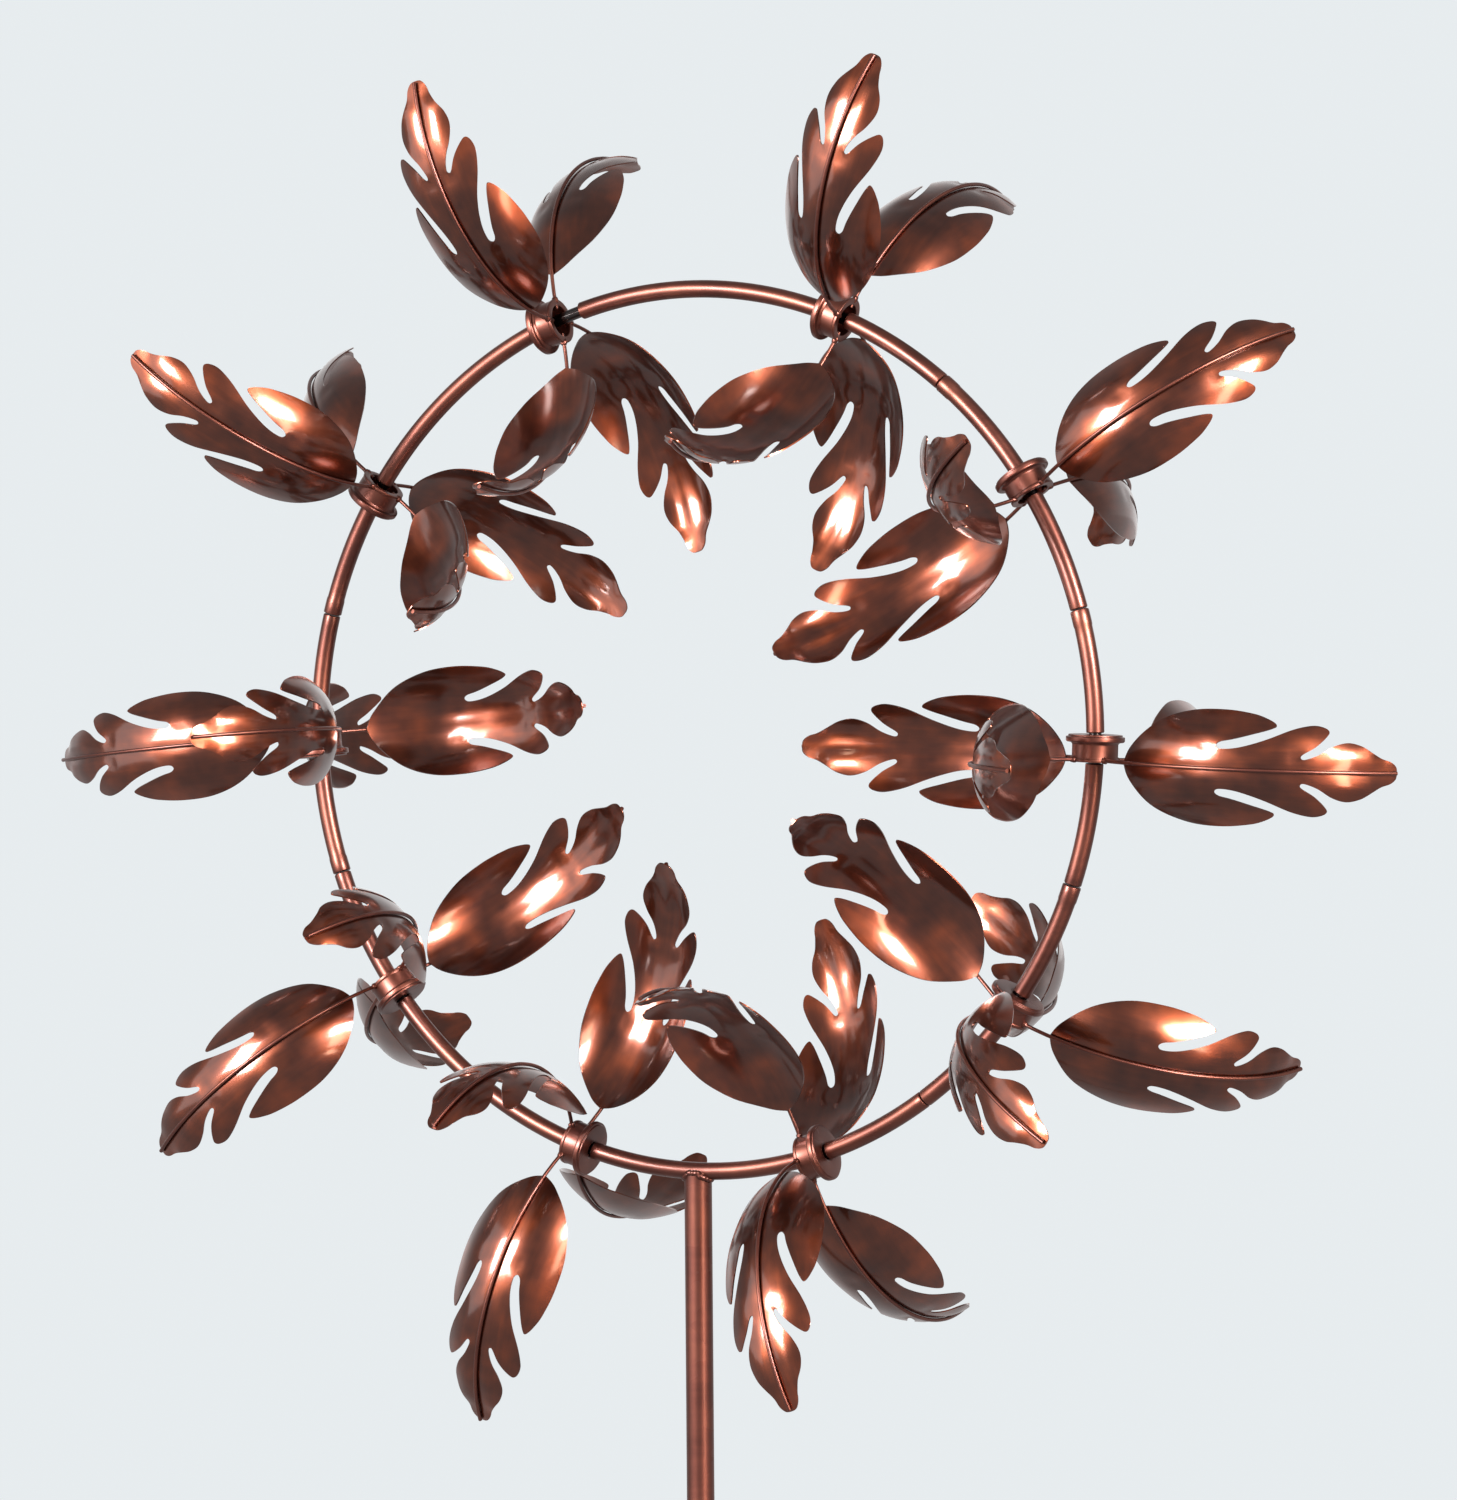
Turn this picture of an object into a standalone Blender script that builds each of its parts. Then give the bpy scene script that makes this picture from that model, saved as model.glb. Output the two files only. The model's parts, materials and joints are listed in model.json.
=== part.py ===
"""Kinetic wind sculpture: ten four-leaf rotors threaded on a tubular ring that stands on a garden pole.

Metres, +Z up. The ring lies in the XZ plane and its front faces -Y. The origin is on the pole's axis at
ground level, where the underside of the foot bar rests on the soil.

Each rotor has its own frame, held by an empty at its hub: X points outwards from the ring's centre,
Y to the ring's front, and Z, the spin axis, clockwise along the ring as seen from the front.
"""

import math

import bmesh
import bpy
from mathutils import Euler, Matrix, Vector

GAP = 0.0003  # clearance between pieces that meet

# Ring and rotor places
RING_RADIUS = 0.255
RING_CENTRE_Z = 1.36
TUBE_RADIUS = 0.0051
AXLE_RADIUS = 0.0035
ROTOR_SPACING = 35.2  # degrees along the ring; the gap over the top is wider
ROTORS_PER_SIDE = 5
BOTTOM_ANGLE = -90.0  # the pole meets the ring here; angles run from +X towards +Z
RIGHT_SEAMS = (1, 2, 3, 4)  # where the ring's sections meet on each side, in rotor spacings up from the pole
LEFT_SEAMS = (2, 3)
ARC_STEP = 6.0  # degrees between the points of a ring section
EXPOSED_AXLE = {1: 0.014}  # hub 1 has slid back and bares this much axle; the others are snug
SNUG_AXLE = 0.0008

# Rest position of each rotor: the turn of its first leaf from straight outwards towards the front,
# and the lean of its spin axis off the ring's tangent that the loose bore allows, both in degrees.
REST_TURN = {1: 39.5, 2: 30, 3: -12.5, 4: -6, 5: -34, 6: 40.5, 7: 11.5, 8: 22.5, 9: 10.5, 10: 47.5}
AXIS_LEAN = {1: -6.5, 2: -1, 3: -0.5, 4: -0.5, 5: 3.5, 6: 0.5, 7: 0.5, 8: 1.5, 9: 3.5, 10: -5}
BENT_STEMS = {5: (0, 2)}  # rotor: leaves whose stems are bent sideways
STEM_BEND = 16.0

# Hub, along its own axis from the flange end
HUB_LENGTH = 0.0153
FLANGE_RADIUS = 0.0165
FLANGE_LIP_RADIUS = 0.0152
FLANGE_LENGTH = 0.0042
FLANGE_LIP_LENGTH = 0.0012
BARREL_RADIUS = 0.0133
BARREL_BORE = 0.0095
HUB_BORE = 0.0046
HUB_WEB = 0.0055
HUB_SIDES = 14

# Leaf stem: a circular arc in the plane across the spin axis, from inside the barrel to the leaf's tip
LEAVES = 4
LEAF_NAMES = ("a", "b", "c", "d")
STEM_PLANE = 0.0064  # from the hub's middle towards its open end
STEM_RADIUS = 0.0011
STEM_START = (0.0088, 0.0092)
STEM_SLOPES = (42.0, -56.0)
STEM_LENGTH = 0.187
STEM_ROOT = -0.0022  # the wire starts this far before the arc, inside the barrel's wall
STEM_TIP_MARGIN = 0.002

# Leaf blade: a flat outline wrapped over the stem's arc and rolled to CUP_RADIUS away from the stem
BLADE_START = 0.017
BLADE_LENGTH = STEM_LENGTH - BLADE_START
BLADE_THICKNESS = 0.0008
CUP_RADIUS = 0.041
BLADE_CUTS = (0.22, 0.45, 0.66, 0.82)
# One half of the outline from base to tip, as shares of BLADE_LENGTH along and across the midrib:
# a broad basal lobe, a slot, a narrower middle lobe, a slot and the end lobe.
HALF_OUTLINE = (
    (0.06, 0.092), (0.21, 0.200), (0.39, 0.218), (0.575, 0.158), (0.37, 0.078), (0.53, 0.102),
    (0.69, 0.158), (0.756, 0.134), (0.65, 0.042), (0.765, 0.088), (0.85, 0.090), (0.93, 0.045),
)

# Pole and ground stake
POLE_RADIUS = 0.008
POLE_BORE = 0.0068
POLE_CAP = 0.004
POLE_SPLIT_Z = 0.56
POLE_SPIGOT = 0.045
SPIGOT_RADIUS = 0.0064
SPIGOT_BORE = 0.0052
LOWER_POLE_FOOT_Z = 0.012
PEG_RADIUS = 0.0062
PEG_TOP_Z = 0.070
FOOT_BAR = (0.150, 0.028, 0.004)
PRONG_RADIUS = 0.005
PRONG_DEPTH = 0.26
PRONG_OFFSET = 0.062
PRONG_POINT = 0.035
POINT_TIP = 0.2  # a prong's blunt tip, as a share of its radius
SCREW_HEAD_RADIUS = 0.0055
SCREW_HEAD_CROWN = 0.0038
SCREW_HEAD_LENGTH = 0.003
SCREW_HEAD_RIM = 0.0015
ROUND_SIDES = 16
ROD_SIDES = 12
SHARP_ANGLE = math.radians(40)

COPPER = (0.36, 0.105, 0.045, 1.0)
DARK_COPPER = (0.20, 0.060, 0.032, 1.0)
STEEL = (0.55, 0.54, 0.52, 1.0)


# ---------------------------------------------------------------- scene helpers


def clear_scene():
    for obj in list(bpy.data.objects):
        bpy.data.objects.remove(obj, do_unlink=True)


def new_collection(name, hidden=False):
    collection = bpy.data.collections.new(name)
    bpy.context.scene.collection.children.link(collection)
    collection.hide_render = hidden
    return collection


def new_material(name, color, roughness):
    material = bpy.data.materials.new(name)
    material.use_nodes = True
    shader = material.node_tree.nodes["Principled BSDF"]
    shader.inputs["Base Color"].default_value = color
    shader.inputs["Metallic"].default_value = 1.0
    shader.inputs["Roughness"].default_value = roughness
    material.diffuse_color = color
    return material


def add_object(name, data, collection, material=None):
    obj = bpy.data.objects.new(name, data)
    collection.objects.link(obj)
    if material:
        obj.data.materials.clear()
        obj.data.materials.append(material)
    return obj


def as_mesh(obj, name):
    """The object's evaluated mesh with its caps welded on; the object is removed."""
    graph = bpy.context.evaluated_depsgraph_get()
    mesh = bpy.data.meshes.new_from_object(obj.evaluated_get(graph))
    mesh.transform(obj.matrix_world)
    mesh.name = name
    bm = bmesh.new()
    bm.from_mesh(mesh)
    bmesh.ops.remove_doubles(bm, verts=bm.verts, dist=1e-6)
    bmesh.ops.recalc_face_normals(bm, faces=bm.faces)
    bm.to_mesh(mesh)
    bm.free()
    bpy.data.objects.remove(obj)
    return mesh


def round_wire(name, points, radius, collection, resolution=0, radii=None):
    """A capped round bar through the points, as a curve; radii can give each point its own radius."""
    curve = bpy.data.curves.new(name, "CURVE")
    curve.dimensions = "3D"
    curve.bevel_depth = radius
    curve.bevel_resolution = resolution
    curve.use_fill_caps = True
    spline = curve.splines.new("POLY")
    spline.points.add(len(points) - 1)
    for i, point in enumerate(points):
        spline.points[i].co = (*point, 1.0)
        spline.points[i].radius = radii[i] / radius if radii else 1.0
    return add_object(name, curve, collection)


def turned(name, profile, sides, collection, closed):
    """A solid turned about Z from (radius, z) points that run down the outer side."""
    mesh = bpy.data.meshes.new(name)
    count = len(profile)
    edges = [(i, i + 1) for i in range(count - 1)]
    if closed:
        edges.append((count - 1, 0))
    mesh.from_pydata([(r, 0.0, z) for r, z in profile], edges, [])
    obj = add_object(name, mesh, collection)
    screw = obj.modifiers.new("Turn", "SCREW")
    screw.steps = sides
    screw.render_steps = sides
    screw.use_merge_vertices = True
    screw.merge_threshold = 0.0001
    return obj


def join_by_boolean(base, others, name):
    """The base object's mesh with the other mesh objects united to it."""
    for other in others:
        other.hide_render = True
        other.display_type = "WIRE"
        union = base.modifiers.new("Join", "BOOLEAN")
        union.operation = "UNION"
        union.solver = "EXACT"
        union.object = other
    bpy.context.view_layer.update()
    mesh = as_mesh(base, name)
    for other in others:
        bpy.data.objects.remove(other)
    return mesh


# ---------------------------------------------------------------- rotor frames


def rotor_angle(number):
    """Where the rotor sits on the ring. Rotors 1 to 10 run clockwise from the upper left."""
    steps = ROTORS_PER_SIDE - number + 1.5 if number > 1 else -(ROTORS_PER_SIDE - 0.5)
    return BOTTOM_ANGLE + ROTOR_SPACING * steps


def ring_point(degrees, radius=RING_RADIUS):
    angle = math.radians(degrees)
    return Vector((radius * math.cos(angle), 0.0, RING_CENTRE_Z + radius * math.sin(angle)))


def rotor_matrix(number):
    degrees = rotor_angle(number)
    angle = math.radians(degrees + AXIS_LEAN.get(number, 0.0))
    outward = Vector((math.cos(angle), 0.0, math.sin(angle)))
    front = Vector((0.0, -1.0, 0.0))
    turn = Matrix((outward, front, outward.cross(front))).transposed()
    return Matrix.Translation(ring_point(degrees)) @ turn.to_4x4()


# ---------------------------------------------------------------- leaf geometry


def stem_point(length):
    """(outward, sideways, slope) of the stem's arc at this length along it."""
    first, last = (math.radians(slope) for slope in STEM_SLOPES)
    radius = STEM_LENGTH / (first - last)
    slope = first - length / radius
    outward = STEM_START[0] + radius * (math.sin(first) - math.sin(slope))
    sideways = STEM_START[1] + radius * (math.cos(slope) - math.cos(first))
    return outward, sideways, slope


def stem_stations():
    """Lengths along the stem where its straight stretches meet. The blade is cut at the same places."""
    cuts = [BLADE_START + share * BLADE_LENGTH for share in (0.0, *BLADE_CUTS)]
    return [STEM_ROOT, *cuts, STEM_LENGTH]


def stem_chord_point(length):
    """A point on the straight stretches that stand in for the stem's arc."""
    stations = stem_stations()
    index = max(i for i, station in enumerate(stations[:-1]) if station <= length)
    low, high = stations[index : index + 2]
    start = Vector(stem_point(low)[:2])
    return start.lerp(Vector(stem_point(high)[:2]), (length - low) / (high - low))


def blade_point(along, across):
    """The blade's outer face at these shares of its length, in the leaf's frame."""
    length = BLADE_START + along * BLADE_LENGTH
    outward, sideways = stem_chord_point(length)
    slope = stem_point(length)[2]
    roll = across * BLADE_LENGTH / CUP_RADIUS
    drop = CUP_RADIUS * (1.0 - math.cos(roll)) + STEM_RADIUS + GAP
    return Vector(
        (
            outward + drop * math.sin(slope),
            sideways - drop * math.cos(slope),
            CUP_RADIUS * math.sin(roll),
        )
    )


def blade_mesh():
    """The flat outline, cut across and down the midrib so that it can bend, then wrapped to shape."""
    half = [Vector((along, across, 0.0)) for along, across in HALF_OUTLINE]
    mirrored = [Vector((p.x, -p.y, 0.0)) for p in reversed(half)]
    bm = bmesh.new()
    corners = [Vector((0, 0, 0)), *half, Vector((1, 0, 0)), *mirrored]
    bm.faces.new([bm.verts.new(p) for p in corners])
    bmesh.ops.triangulate(bm, faces=bm.faces)
    cuts = [(Vector((share, 0, 0)), Vector((1, 0, 0))) for share in BLADE_CUTS]
    cuts.append((Vector((0, 0, 0)), Vector((0, 1, 0))))
    for point, normal in cuts:
        parts = bm.verts[:] + bm.edges[:] + bm.faces[:]
        bmesh.ops.bisect_plane(bm, geom=parts, plane_co=point, plane_no=normal, dist=1e-5)
    bmesh.ops.triangulate(bm, faces=[f for f in bm.faces if len(f.verts) > 4])
    for vert in bm.verts:
        vert.co = blade_point(vert.co.x, vert.co.y)
    bmesh.ops.recalc_face_normals(bm, faces=bm.faces)
    bm.normal_update()
    if sum(face.normal.y for face in bm.faces) < 0:
        bmesh.ops.reverse_faces(bm, faces=bm.faces)
    mesh = bpy.data.meshes.new("leaf_blade")
    bm.to_mesh(mesh)
    bm.free()
    mesh.shade_smooth()
    return mesh


def leaf_rotation(number, index):
    turn = math.radians(REST_TURN[number] + index * 360.0 / LEAVES)
    bend = math.radians(STEM_BEND) if index in BENT_STEMS.get(number, ()) else 0.0
    return Euler((0.0, bend, turn))


# ---------------------------------------------------------------- rotors


def hub_profile():
    """Closed section of the hub: a stepped flange, a web with the bore, and a barrel open at its far end."""
    low = -HUB_LENGTH / 2
    high = HUB_LENGTH / 2
    return [
        (BARREL_BORE, high),
        (BARREL_RADIUS, high),
        (BARREL_RADIUS, low + FLANGE_LENGTH),
        (FLANGE_RADIUS, low + FLANGE_LENGTH),
        (FLANGE_RADIUS, low + FLANGE_LIP_LENGTH),
        (FLANGE_LIP_RADIUS, low),
        (HUB_BORE, low),
        (HUB_BORE, low + HUB_WEB),
        (BARREL_BORE, low + HUB_WEB),
    ]


def stem_object(number, index, helpers):
    lengths = [*stem_stations()[:-1], STEM_LENGTH - STEM_TIP_MARGIN]
    points = [Vector((*stem_chord_point(length), 0.0)) for length in lengths]
    wire = round_wire("stem", points, STEM_RADIUS, helpers)
    mesh = as_mesh(wire, "stem")
    stem = add_object("stem", mesh, helpers)
    stem.location = (0.0, 0.0, STEM_PLANE)
    stem.rotation_euler = leaf_rotation(number, index)
    return stem


def add_rotor(number, blade, parts, helpers, copper):
    name = f"rotor_{number:02d}"
    frame = bpy.data.objects.new(f"{name}_axis", None)
    helpers.objects.link(frame)
    frame.matrix_world = rotor_matrix(number)
    hub = turned("hub", hub_profile(), HUB_SIDES, helpers, closed=True)
    stems = [stem_object(number, index, helpers) for index in range(LEAVES)]
    hub_mesh = join_by_boolean(hub, stems, f"{name}_hub")
    hub_mesh.shade_smooth()
    hub_mesh.set_sharp_from_angle(angle=SHARP_ANGLE)
    hub_part = add_object(f"{name}_hub", hub_mesh, parts, copper)
    hub_part.parent = frame
    for index, letter in enumerate(LEAF_NAMES):
        leaf = add_object(f"{name}_leaf_{letter}", blade, parts)
        leaf.parent = frame
        leaf.location = (0.0, 0.0, STEM_PLANE)
        leaf.rotation_euler = leaf_rotation(number, index)
        solid = leaf.modifiers.new("Sheet", "SOLIDIFY")
        solid.thickness = BLADE_THICKNESS
        solid.offset = -1.0


# ---------------------------------------------------------------- ring


def section_points(start, end):
    """Points and radii of a ring section from start to end degrees, thinned to an axle inside each hub."""
    reach = math.degrees((HUB_LENGTH / 2 + SNUG_AXLE) / RING_RADIUS)
    step = math.degrees(GAP / RING_RADIUS)
    stations = []
    for number in REST_TURN:
        centre = start + (rotor_angle(number) - start) % 360.0
        if centre > end:
            continue
        low = centre - reach - math.degrees(EXPOSED_AXLE.get(number, 0.0) / RING_RADIUS)
        high = centre + reach
        stations += [(low - step, TUBE_RADIUS), (low, AXLE_RADIUS)]
        stations += [(high, AXLE_RADIUS), (high + step, TUBE_RADIUS)]
    stations = [(start, TUBE_RADIUS), *sorted(stations), (end, TUBE_RADIUS)]
    full = []
    for (angle, radius), (next_angle, next_radius) in zip(stations, stations[1:]):
        pieces = max(1, math.ceil((next_angle - angle) / ARC_STEP)) if radius == next_radius else 1
        full += [(angle + (next_angle - angle) * i / pieces, radius) for i in range(pieces)]
    full.append(stations[-1])
    return [ring_point(angle) for angle, _ in full], [radius for _, radius in full]


def add_ring(parts, copper):
    """Long bottom and top sections of three rotors each, and short side sections of one rotor each."""
    half_gap = math.degrees(GAP / RING_RADIUS)
    right = [BOTTOM_ANGLE + ROTOR_SPACING * steps for steps in RIGHT_SEAMS]
    left = [BOTTOM_ANGLE - ROTOR_SPACING * steps for steps in LEFT_SEAMS]
    sections = {
        "ring_bottom": (left[0], right[0]),
        "ring_right_lower": (right[0], right[1]),
        "ring_right_middle": (right[1], right[2]),
        "ring_right_upper": (right[2], right[3]),
        "ring_top": (right[3], left[1] + 360.0),
        "ring_left": (left[1], left[0]),
    }
    for name, (start, end) in sections.items():
        points, radii = section_points(start + half_gap, end - half_gap)
        bar = round_wire(name, points, TUBE_RADIUS, parts, resolution=2, radii=radii)
        bar.data.materials.append(copper)


# ---------------------------------------------------------------- pole and stake


def add_pole(parts, copper):
    top = RING_CENTRE_Z - RING_RADIUS - TUBE_RADIUS - GAP
    upper = turned(
        "pole_upper",
        [
            (0.0, top),
            (POLE_RADIUS, top),
            (POLE_RADIUS, POLE_SPLIT_Z),
            (POLE_BORE, POLE_SPLIT_Z),
            (POLE_BORE, top - POLE_CAP),
            (0.0, top - POLE_CAP),
        ],
        ROUND_SIDES,
        parts,
        closed=False,
    )
    shoulder = POLE_SPLIT_Z - GAP
    lower = turned(
        "pole_lower",
        [
            (SPIGOT_BORE, shoulder + POLE_SPIGOT),
            (SPIGOT_RADIUS, shoulder + POLE_SPIGOT),
            (SPIGOT_RADIUS, shoulder),
            (POLE_RADIUS, shoulder),
            (POLE_RADIUS, LOWER_POLE_FOOT_Z),
            (POLE_BORE, LOWER_POLE_FOOT_Z),
            (POLE_BORE, shoulder - POLE_RADIUS),
            (SPIGOT_BORE, shoulder - POLE_RADIUS),
        ],
        ROUND_SIDES,
        parts,
        closed=True,
    )
    for pole in (upper, lower):
        pole.data.materials.append(copper)


def bar_object(name, size, centre, collection):
    bm = bmesh.new()
    bmesh.ops.create_cube(bm, size=1.0)
    bmesh.ops.scale(bm, vec=size, verts=bm.verts)
    mesh = bpy.data.meshes.new(name)
    bm.to_mesh(mesh)
    bm.free()
    bar = add_object(name, mesh, collection)
    bar.location = centre
    return bar


def peg_profile():
    """Upright peg that the pole slides over, welded on top of the foot bar."""
    root = FOOT_BAR[2] / 2
    return [(0.0, PEG_TOP_Z), (PEG_RADIUS, PEG_TOP_Z), (PEG_RADIUS, root), (0.0, root)]


def prong_profile():
    """Prong that tapers to a blunt point, from inside the foot bar downwards."""
    tip = PRONG_RADIUS * POINT_TIP
    shoulder = PRONG_POINT - PRONG_DEPTH
    top = FOOT_BAR[2] / 2
    return [(0.0, top), (PRONG_RADIUS, top), (PRONG_RADIUS, shoulder), (tip, -PRONG_DEPTH), (0.0, -PRONG_DEPTH)]


def add_stake(parts, helpers, copper):
    """A foot bar that rests on the ground, with a peg for the pole above it and two prongs below."""
    bar = bar_object("foot_bar", FOOT_BAR, (0, 0, FOOT_BAR[2] / 2), helpers)
    rods = [turned("peg", peg_profile(), ROUND_SIDES, helpers, closed=False)]
    for side in (-1, 1):
        prong = turned("prong", prong_profile(), ROD_SIDES, helpers, closed=False)
        prong.location = (side * PRONG_OFFSET, 0, 0)
        rods.append(prong)
    bpy.context.view_layer.update()
    solid_rods = [add_object(rod.name, as_mesh(rod, rod.name), helpers) for rod in rods]
    mesh = join_by_boolean(bar, solid_rods, "ground_stake")
    add_object("ground_stake", mesh, parts, copper)


def add_screw(parts, steel):
    """Pan-head screw that bears on the pole's joint from the front."""
    head = POLE_RADIUS + GAP
    screw = turned(
        "pole_screw",
        [
            (0.0, head + SCREW_HEAD_LENGTH),
            (SCREW_HEAD_CROWN, head + SCREW_HEAD_LENGTH),
            (SCREW_HEAD_RADIUS, head + SCREW_HEAD_RIM),
            (SCREW_HEAD_RADIUS, head),
            (0.0, head),
        ],
        ROUND_SIDES,
        parts,
        closed=False,
    )
    screw.location = (0.0, 0.0, POLE_SPLIT_Z + POLE_SPIGOT / 2)
    screw.rotation_euler = (math.radians(90), 0.0, 0.0)
    screw.data.materials.append(steel)


def main():
    clear_scene()
    parts = new_collection("kinetic_wind_sculpture")
    helpers = new_collection("helpers", hidden=True)
    copper = new_material("copper_paint", COPPER, 0.3)
    leaf_copper = new_material("leaf_copper_paint", DARK_COPPER, 0.25)
    steel = new_material("zinc_steel", STEEL, 0.4)
    add_ring(parts, copper)
    blade = blade_mesh()
    blade.materials.append(leaf_copper)
    for number in REST_TURN:
        add_rotor(number, blade, parts, helpers, copper)
    add_pole(parts, copper)
    add_stake(parts, helpers, copper)
    add_screw(parts, steel)


main()
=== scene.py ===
"""Looks for the kinetic wind sculpture: fine copper-painted tube, hubs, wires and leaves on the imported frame.

Each leaf, hub and tube section is rebuilt finely where its CAD node stands, and rides on that node's body.
A rotor's own frame has X outwards from the ring's centre, Y to the ring's front and Z along the spin axis.
"""

import json
import math

import bmesh
import bpy
from mathutils import Euler, Matrix, Vector, noise


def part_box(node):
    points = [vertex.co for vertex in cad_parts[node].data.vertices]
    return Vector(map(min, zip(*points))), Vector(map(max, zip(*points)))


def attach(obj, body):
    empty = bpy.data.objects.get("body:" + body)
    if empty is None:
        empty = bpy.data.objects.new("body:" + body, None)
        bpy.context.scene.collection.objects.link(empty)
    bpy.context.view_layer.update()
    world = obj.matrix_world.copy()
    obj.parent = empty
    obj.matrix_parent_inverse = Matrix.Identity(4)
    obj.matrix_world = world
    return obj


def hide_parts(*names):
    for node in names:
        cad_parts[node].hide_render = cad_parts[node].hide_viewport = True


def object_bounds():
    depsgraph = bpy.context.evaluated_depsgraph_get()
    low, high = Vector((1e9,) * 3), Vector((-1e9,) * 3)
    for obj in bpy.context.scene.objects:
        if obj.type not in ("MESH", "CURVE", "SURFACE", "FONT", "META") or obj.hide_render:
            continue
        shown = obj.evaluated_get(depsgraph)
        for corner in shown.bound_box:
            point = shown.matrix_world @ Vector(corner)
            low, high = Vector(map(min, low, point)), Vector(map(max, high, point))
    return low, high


# Leaf stem: a circular arc across the spin axis, the same one as the CAD's
STEM_PLANE = 0.0064
STEM_RADIUS = 0.0011
STEM_START = (0.0088, 0.0092)
STEM_SLOPES = (42.0, -56.0)
STEM_LENGTH = 0.187
STEM_ROOT = -0.005  # the wire runs on backwards into the barrel
STEM_END = STEM_LENGTH - 0.0015
STEM_STATIONS = 72
STEM_SIDES = 14
STEM_WOBBLE = 0.00006
WOBBLE_RATE = 120.0
BLOB_HEIGHT = 0.0004
BLOB_LENGTH = 0.0011
BLOB_PLACE = STEM_END - 0.0012

# Welds at a stem's root: a bead round the wire and a smaller one beside it, each as half-sizes
ROOT_WELD = (0.0021, 0.0019, 0.0026)
SIDE_WELD = (0.0015, 0.0013, 0.0014)
SIDE_WELD_PLACE = (-0.0012, -0.0018, -0.0013)
WELD_LUMPS = 0.22

# Leaf blade
BLADE_START = 0.017
BLADE_LENGTH = STEM_LENGTH - BLADE_START
BLADE_THICKNESS = 0.0008
BLADE_GAP = 0.0003
BLADE_EDGE = BLADE_THICKNESS * 0.3
BLADE_EDGE_ANGLE = 55.0
CUP_RADIUS = 0.041
BLADE_CUTS_ALONG = 44
BLADE_CUTS_ACROSS = (0.012, 0.026, 0.042, 0.06, 0.08, 0.102, 0.125, 0.15, 0.175, 0.2)
OUTLINE_STEPS = 7
# One half of the outline from base to tip, as shares of BLADE_LENGTH along and across the midrib
HALF_OUTLINE = (
    (0.029, 0.058), (0.116, 0.148), (0.241, 0.204), (0.376, 0.216), (0.482, 0.201), (0.540, 0.179),
    (0.571, 0.156), (0.555, 0.142), (0.493, 0.121), (0.423, 0.099), (0.382, 0.089), (0.368, 0.076),
    (0.385, 0.065), (0.446, 0.072), (0.534, 0.100), (0.628, 0.139), (0.699, 0.156), (0.740, 0.150),
    (0.756, 0.134), (0.740, 0.112), (0.702, 0.080), (0.661, 0.056), (0.653, 0.045), (0.666, 0.039),
    (0.711, 0.054), (0.763, 0.083), (0.816, 0.097), (0.863, 0.088), (0.904, 0.064), (0.942, 0.047),
    (0.975, 0.036), (0.996, 0.020),
)

# Stamped relief of the blade: heights in metres, places and widths as shares of BLADE_LENGTH
GROOVE_DEPTH = 0.0003
GROOVE_WIDTH = 0.02
GROOVE_FADES = (6.0, 8.0)  # how quickly it rises from the base, and falls to the tip
# Each swell: height, then its place and width along the blade and to each side of the midrib
SWELLS = (
    (0.0006, 0.33, 0.18, 0.12, 0.07),
    (0.0005, 0.62, 0.12, 0.09, 0.06),
    (0.0013, 0.84, 0.08, 0.055, 0.04),
    (-0.0008, 0.635, 0.02, 0.040, 0.025),
)
EYE_PLACE = (0.335, 0.072)
EYE_RADIUS = 0.016
EYE_WIDTH = 0.008
EYE_DEPTH = 0.0006
WAVE_HEIGHT = 0.0005
WAVE_RATE = 58.0
WAVE_PLACE = 0.93
WAVE_WIDTH = 0.06
WAVE_FADE = 0.04
DENT_HEIGHT = 0.0005
DENT_RATES = (6.0, 9.0)
DENT_SEED = 3.7

# Hub
HUB_LENGTH = 0.0153
HUB_BORE = 0.0046
HUB_WEB = 0.0055
HUB_EASING = 0.00035
HUB_SIDES = 72
HUB_BORE_BEVEL = (0.0014, 0.0007)
FLANGE_RADIUS = 0.0165
FLANGE_LENGTH = 0.0042
FLANGE_BEVEL = 0.0006
FLANGE_STEP = 0.0013
STEP_HEIGHTS = (0.0010, 0.0012)
BARREL_RADIUS = 0.0133
BARREL_BORE = 0.0095
BARREL_WAIST = BARREL_RADIUS - 0.0004
COLLAR_LENGTHS = (0.0016, 0.0021)
FILLET = (0.0007, 0.0012)

# Ring tube
TUBE_RADIUS = 0.0051
TUBE_SHOULDER = TUBE_RADIUS - 0.0003
AXLE_RADIUS = 0.0035
TUBE_SIDES = 40
TUBE_STEP = 1.2  # degrees between stations, at most
NECK_LENGTH = 0.0006
SNUG_AXLE = 0.0008
EXPOSED_AXLE = {"rotor_01": 0.014}
SEAM_HALF_GAP = 0.0003
FLARE_HEIGHT = 0.0003
FLARE_LENGTH = 0.0100
# Rolled ends at a seam: distance from the end, and how far the surface lies under the full radius there
PLAIN_END = ((0.0, 0.0007), (0.0004, 0.0001), (0.0009, 0.0))
FLARED_END = ((0.0, 0.0007), (0.0003, 0.0002), (0.0008, 0.0), (0.0085, 0.0))
# Each section runs from midway between the first two rotors to midway between the last two
RING_SECTIONS = (
    ("ring_bottom", (9, 8), (6, 5)),
    ("ring_right_lower", (6, 5), (5, 4)),
    ("ring_right_middle", (5, 4), (4, 3)),
    ("ring_right_upper", (4, 3), (3, 2)),
    ("ring_top", (3, 2), (10, 9)),
    ("ring_left", (10, 9), (9, 8)),
)

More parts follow.
